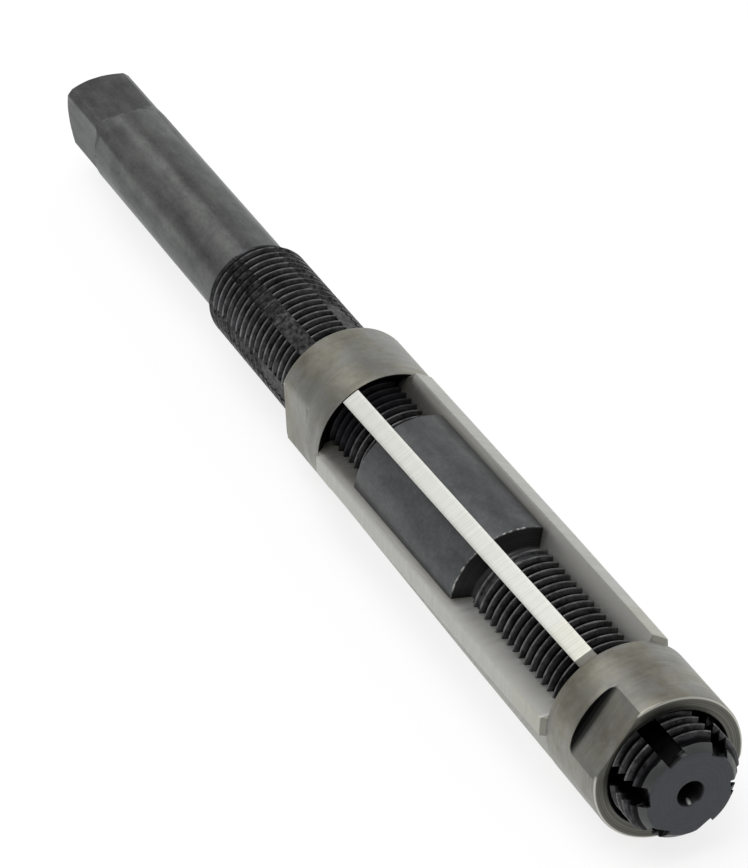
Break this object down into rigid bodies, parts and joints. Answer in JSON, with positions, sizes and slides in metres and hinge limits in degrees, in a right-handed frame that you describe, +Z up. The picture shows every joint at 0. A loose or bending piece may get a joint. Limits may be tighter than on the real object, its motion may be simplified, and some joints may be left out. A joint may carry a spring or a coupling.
{
  "type": "adjustable hand reamer",
  "caption": "Straight-bladed hand reamer whose loose blades slide in tapered slots between clamping nuts, so the size of the hole it finishes can be set.",
  "frame": {"origin": "centre of the underside of the bounding box: the tool lies with its axis level, at mid length, on the surface that the lower nut rests on", "axes": "+X along the tool's axis from the driving square towards the nose, +Z up; a flat of the driving square faces up, turned 4 degrees towards -Y"},
  "size_m": [0.181, 0.0208, 0.0195],
  "materials": {
    "holder": "black oxide on turned and milled steel",
    "nuts": "turned steel, satin",
    "blades": "ground tool steel"
  },
  "bodies": {
    "holder": {"reamer_body": "holder"},
    "upper_nut": {"upper_nut": "nuts"},
    "lower_nut": {"lower_nut": "nuts"},
    "blade_1": {"blade_1": "blades"},
    "blade_2": {"blade_2": "blades"},
    "blade_3": {"blade_3": "blades"},
    "blade_4": {"blade_4": "blades"},
    "blade_5": {"blade_5": "blades"},
    "blade_6": {"blade_6": "blades"}
  },
  "joints": [
    {"name": "upper_nut_travel", "type": "slide", "parent": "holder", "child": "upper_nut", "axis": [-1, 0, 0], "range_m": [-0.005, 0.02]},
    {"name": "lower_nut_travel", "type": "slide", "parent": "holder", "child": "lower_nut", "axis": [-1, 0, 0], "range_m": [-0.00486, 0.0193]},
    {"name": "blade_1_slide", "type": "slide", "parent": "holder", "child": "blade_1", "axis": [-0.9997, -0.0215, 0.009], "range_m": [-0.00496, 0.01968]},
    {"name": "blade_2_slide", "type": "slide", "parent": "holder", "child": "blade_2", "axis": [-0.9997, -0.0186, -0.0142], "range_m": [-0.00496, 0.01968]},
    {"name": "blade_3_slide", "type": "slide", "parent": "holder", "child": "blade_3", "axis": [-0.9997, 0.003, -0.0231], "range_m": [-0.00496, 0.01968]},
    {"name": "blade_4_slide", "type": "slide", "parent": "holder", "child": "blade_4", "axis": [-0.9997, 0.0215, -0.009], "range_m": [-0.00496, 0.01968]},
    {"name": "blade_5_slide", "type": "slide", "parent": "holder", "child": "blade_5", "axis": [-0.9997, 0.0186, 0.0142], "range_m": [-0.00496, 0.01968]},
    {"name": "blade_6_slide", "type": "slide", "parent": "holder", "child": "blade_6", "axis": [-0.9997, -0.003, 0.0231], "range_m": [-0.00496, 0.01968]}
  ],
  "couplings": [
    {"joint": "lower_nut_travel", "follows": "upper_nut_travel", "ratio": 0.96232},
    {"joint": "blade_1_slide", "follows": "upper_nut_travel", "ratio": 0.98143},
    {"joint": "blade_2_slide", "follows": "upper_nut_travel", "ratio": 0.98143},
    {"joint": "blade_3_slide", "follows": "upper_nut_travel", "ratio": 0.98143},
    {"joint": "blade_4_slide", "follows": "upper_nut_travel", "ratio": 0.98143},
    {"joint": "blade_5_slide", "follows": "upper_nut_travel", "ratio": 0.98143},
    {"joint": "blade_6_slide", "follows": "upper_nut_travel", "ratio": 0.98143}
  ]
}
